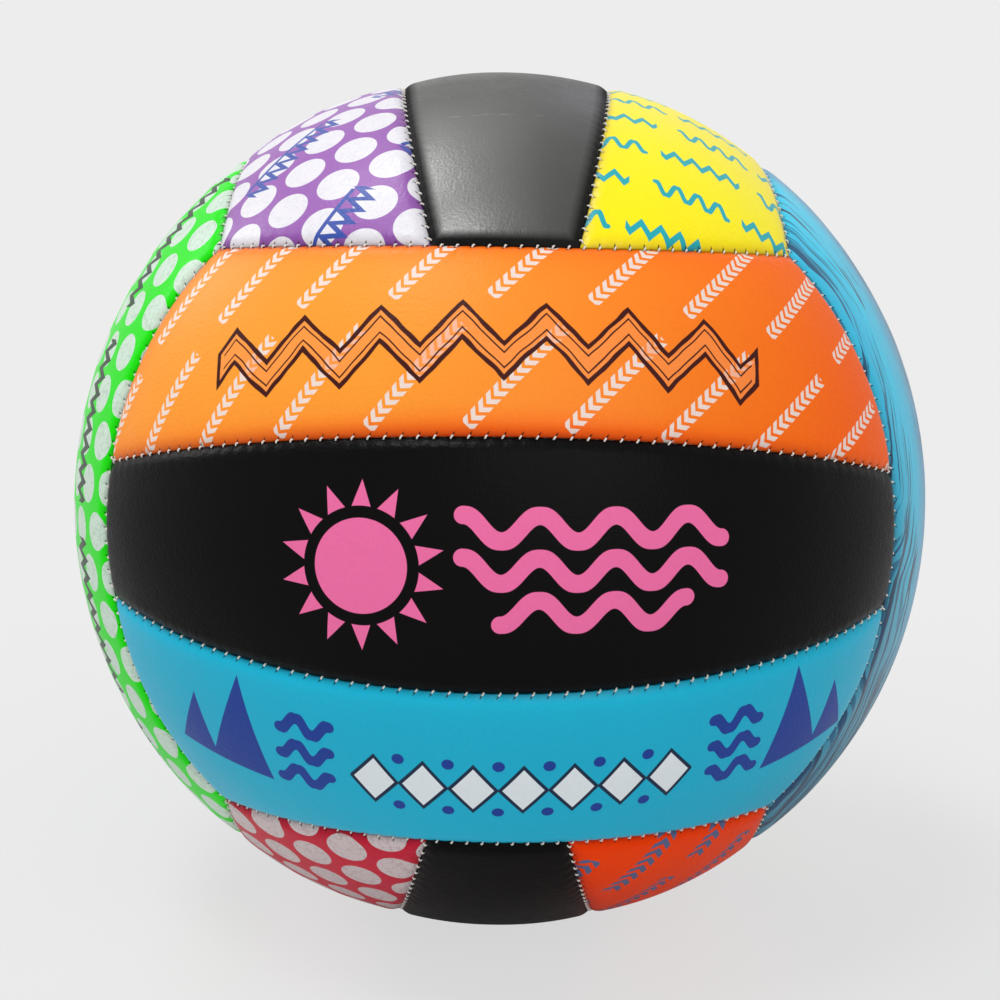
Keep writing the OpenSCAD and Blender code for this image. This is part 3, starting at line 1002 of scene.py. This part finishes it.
def thread_material():
    surface = Surface("sewing_thread", srgb(244, 240, 232))
    fibres = surface.noise(0.25, detail=3, warp=2.0)
    surface.shade(0.82 + fibres * 0.16 + (surface.noise(20) - 0.5) * 0.16)
    return surface.finish(0.6 + surface.noise(1) * 0.2, fibres, depth=0.08, level=0.35)


def rubber(name, colour, rough, level):
    surface = Surface(name, colour)
    dust = surface.noise(6, detail=3)
    surface.shade(0.85 + dust * 0.3)
    relief = surface.noise(0.5, detail=3) + dust
    return surface.finish(rough + (dust - 0.5) * 0.16, relief, depth=0.05, level=level)


def leathers():
    """The material and the record's slot of each kind of panel."""
    black = srgb(10, 8, 9)
    edge_shade_black = srgb(5, 5, 5)
    dark = {"deep": edge_shade_black, "level": 0.06}
    # The scuffed black panel: a painted dark margin along its seams, and a specular level that follows a
    # pattern
    wear_and_shade = {"deep": edge_shade_black, "wear_and_shade": True}
    # The deep colours are painted shade along each panel's seams; the cyan's is lighter, a painted highlight
    kinds = {
        # The orange's pale base colour is a painted highlight; print_orange paints it deeper towards one end
        "orange": (
            "orange_skin", srgb(255, 158, 52), print_orange, {"deep": srgb(250, 76, 0), "level": 0.1},
        ),
        "cyan": ("cyan_skin", srgb(20, 178, 212), print_cyan, {"deep": srgb(8, 192, 228), "level": 0.18}),
        "purple": ("purple_skin", srgb(150, 90, 174), print_purple, {"deep": srgb(124, 64, 146)}),
        "red": ("red_skin", srgb(206, 30, 58), print_red, {"deep": srgb(176, 20, 44), "level": 0.1}),
        "yellow": ("yellow_skin", srgb(255, 240, 0), print_yellow, {"deep": srgb(252, 220, 0)}),
        "vermilion": (
            "vermilion_skin", srgb(255, 70, 0), print_vermilion, {"deep": srgb(236, 50, 0), "level": 0.05},
        ),
        "green": ("green_skin", srgb(24, 228, 2), print_green, {"level": 0.1}),
        "sky": ("sky_skin", srgb(58, 216, 250), print_sky, {"level": 0.16}),
        "black": ("black_skin", black, None, dark),
        # The scuffed panel's grey base is a painted sheen over black leather
        "wear_and_sheen_black": ("black_skin", srgb(56, 56, 53), print_scratch_and_sheen, wear_and_shade),
        "black_sun": ("black_skin", black, print_sun, dark),
        "black_wide_sun": ("black_skin", black, print_wide_sun, dark),
    }
    return {
        kind: (slot, leather(f"{kind}_leather", colour, ink, **more))
        for kind, (slot, colour, ink, more) in kinds.items()
    }


# The kind of each strip. The right face's are listed from the front, so its sky-blue one faces the camera.
PANEL_KINDS = {
    "front": ("cyan", "black_sun", "orange"),
    "back": ("cyan", "black_wide_sun", "orange"),
    "top": ("purple", "wear_and_sheen_black", "yellow"),
    "bottom": ("red", "black", "vermilion"),
    "left": ("sky", "black", "green"),
    "right": ("sky", "black", "green"),
}


def placed(piece, node, material):
    """Lets a piece stand for a CAD node of the ball."""
    piece.data.materials.clear()
    piece.data.materials.append(material)
    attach(piece, "ball")
    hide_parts(node)
    return piece


def strip_size(strip, hem):
    """Width, length and area of a strip's flat cut, with a hem all round."""
    width = BALL_R * (2 * STRIP_TILT if strip == MIDDLE else CORNER_ANGLE - STRIP_TILT)
    length = 2 * INNER_SPAN * BALL_R
    run = np.linspace(-1, 1, AREA_CELLS_ALONG + 1)
    share = np.linspace(0, 1, AREA_CELLS_ACROSS + 1)
    places = direction(strip, *np.meshgrid(share, run), 0.0) * BALL_R
    one = places[1:, 1:] - places[:-1, :-1]
    other = places[1:, :-1] - places[:-1, 1:]
    area = np.linalg.norm(np.cross(one, other), axis=-1).sum() / 2
    full = (width + 2 * hem) * MM, (length + 2 * hem) * MM
    area = (area + hem * 2 * (width + length)) * MM**2
    return full, min(float(area), full[0] * full[1])


def make_panels():
    kinds = leathers()
    foam = foam_material()
    cloth = cloth_material()
    hem = BALL_R - ROLL_DROP - CROWN_DROP - LINING_OUT_R + SKIN_T
    for face, (_, strips) in FACES.items():
        for strip, strip_name in enumerate(strips):
            slot, material = kinds[PANEL_KINDS[face][strip]]
            pad = placed(padding(face, strip), f"{face}_{strip_name}_foam", foam)
            panel = placed(skin(face, strip), f"{face}_{strip_name}_skin", material)
            flat, area = strip_size(strip, hem)
            under = placed(lining(face, strip), f"{face}_lining", cloth)
            flat, area = strip_size(strip, 0)


def make_stitches():
    material = thread_material()
    for face in FACES:
        placed(stitches(face), f"{face}_thread", material)


def dress_rubber():
    """Materials for the bladder and the valve, whose CAD solids stay."""
    finishes = {
        "bladder": rubber("bladder_rubber", srgb(52, 50, 50), rough=0.5, level=0.4),
        "valve_housing": rubber("valve_rubber", srgb(24, 23, 24), rough=0.45, level=0.4),
        "valve_plug": rubber("plug_rubber", srgb(92, 90, 88), rough=0.55, level=0.35),
    }
    for node, material in finishes.items():
        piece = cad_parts[node]
        piece.data.materials.clear()
        piece.data.materials.append(material)


# The stage

BACKGROUND = srgb(237, 237, 237)
FLOOR_COLOUR = (0.76, 0.76, 0.76, 1)
FLOOR_FADE = (0.16, 0.55)
FLOOR_SHADE = 0.24
FLOOR_R = 4.0
FLOOR_CORNERS = 64
AMBIENT = 0.5


def seen_directly(tree):
    """1 for the rays that show the background: camera rays, and glossy or transmission rays."""
    path = tree.nodes.new("ShaderNodeLightPath")
    camera, glossy, through = (Term(tree, path.outputs[f"Is {kind} Ray"])
                               for kind in ("Camera", "Glossy", "Transmission"))
    return camera, glossy.larger(through)


def make_world():
    world = bpy.data.worlds.new("studio")
    bpy.context.scene.world = world
    world.use_nodes = True
    tree = world.node_tree
    shown = tree.nodes["Background"]
    shown.inputs["Color"].default_value = BACKGROUND
    ambient = tree.nodes.new("ShaderNodeBackground")
    ambient.inputs["Color"].default_value = (1, 1, 1, 1)
    ambient.inputs["Strength"].default_value = AMBIENT
    mix = tree.nodes.new("ShaderNodeMixShader")
    camera, mirrored = seen_directly(tree)
    tree.links.new(camera.larger(mirrored).socket, mix.inputs[0])
    tree.links.new(ambient.outputs[0], mix.inputs[1])
    tree.links.new(shown.outputs[0], mix.inputs[2])
    tree.links.new(mix.outputs[0], tree.nodes["World Output"].inputs[0])


def make_floor():
    """A pale floor that takes the ball's shadow and fades into the background."""
    angles = np.linspace(0, 2 * math.pi, FLOOR_CORNERS, endpoint=False)
    points = [(FLOOR_R * math.cos(angle), FLOOR_R * math.sin(angle), 0) for angle in angles]
    mesh = bpy.data.meshes.new("floor")
    mesh.from_pydata(points, [], [list(range(len(points)))])
    floor = bpy.data.objects.new("floor", mesh)
    floor.location.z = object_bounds()[0][2]
    bpy.context.scene.collection.objects.link(floor)
    material = bpy.data.materials.new("floor")
    material.use_nodes = True
    tree = material.node_tree
    tree.nodes.remove(tree.nodes["Principled BSDF"])
    diffuse = tree.nodes.new("ShaderNodeBsdfDiffuse")
    diffuse.inputs["Color"].default_value = FLOOR_COLOUR
    plain = tree.nodes.new("ShaderNodeEmission")
    plain.inputs["Color"].default_value = BACKGROUND
    split = tree.nodes.new("ShaderNodeSeparateXYZ")
    tree.links.new(tree.nodes.new("ShaderNodeTexCoord").outputs["Object"], split.inputs[0])
    x, y = Term(tree, split.outputs[0]), Term(tree, split.outputs[1])
    far = (x * x + y * y).root()
    near = 1 - far.ramp(*FLOOR_FADE)
    camera, mirrored = seen_directly(tree)
    covered = (camera * (1 - near * near * FLOOR_SHADE)).larger(mirrored * (1 - near * near))
    mix = tree.nodes.new("ShaderNodeMixShader")
    tree.links.new(covered.socket, mix.inputs[0])
    tree.links.new(diffuse.outputs[0], mix.inputs[1])
    tree.links.new(plain.outputs[0], mix.inputs[2])
    tree.links.new(mix.outputs[0], tree.nodes["Material Output"].inputs[0])
    mesh.materials.append(material)


# Name, place, size and power of each softbox. All point at the ball.
LIGHTS = (
    ("overhead_front", (-0.3, -0.52, 1.05), 0.34, 4.1),
    ("overhead_back", (-0.42, 0.1, 1.13), 0.36, 2.7),
    ("front", (0.45, -1.45, 0.6), 1.3, 6),
    ("left", (-0.94, 0.26, 0.71), 0.5, 2.2),
)


def make_lights():
    for name, place, size, power in LIGHTS:
        light = bpy.data.lights.new(name, "AREA")
        light.shape = "DISK"
        light.size = size
        light.energy = power
        lamp = bpy.data.objects.new(name, light)
        lamp.location = place
        lamp.rotation_mode = "QUATERNION"
        lamp.rotation_quaternion = (-Vector(place)).to_track_quat("-Z", "Y")
        bpy.context.scene.collection.objects.link(lamp)


# The camera: its distance from the ball's middle, its angles, the point that it looks at and its lens
VIEW_DISTANCE = 3.463 * BALL_R * MM
VIEW_ELEVATION = math.radians(7.27)
VIEW_AZIMUTH = math.radians(-0.25)
VIEW_ROLL = math.radians(0.77)
VIEW_AIM = Vector((0, 0, -0.0003))
VIEW_LENS = 50.9
SENSOR_WIDTH = 36
CLIP_START = 0.01


def make_camera():
    data = bpy.data.cameras.new("camera")
    data.lens = VIEW_LENS
    data.sensor_width = SENSOR_WIDTH
    data.clip_start = CLIP_START
    camera = bpy.data.objects.new("camera", data)
    level = math.cos(VIEW_ELEVATION)
    aside, back = math.sin(VIEW_AZIMUTH), math.cos(VIEW_AZIMUTH)
    place = Vector((aside * level, -back * level, math.sin(VIEW_ELEVATION))) * VIEW_DISTANCE
    camera.location = place
    camera.rotation_mode = "QUATERNION"
    looking = (VIEW_AIM - place).to_track_quat("-Z", "Y")
    camera.rotation_quaternion = looking @ Quaternion((0, 0, 1), VIEW_ROLL)
    bpy.context.scene.collection.objects.link(camera)
    bpy.context.scene.camera = camera


make_camera()
make_panels()
make_stitches()
dress_rubber()
make_world()
make_floor()
make_lights()
bpy.context.scene.view_settings.view_transform = "Standard"
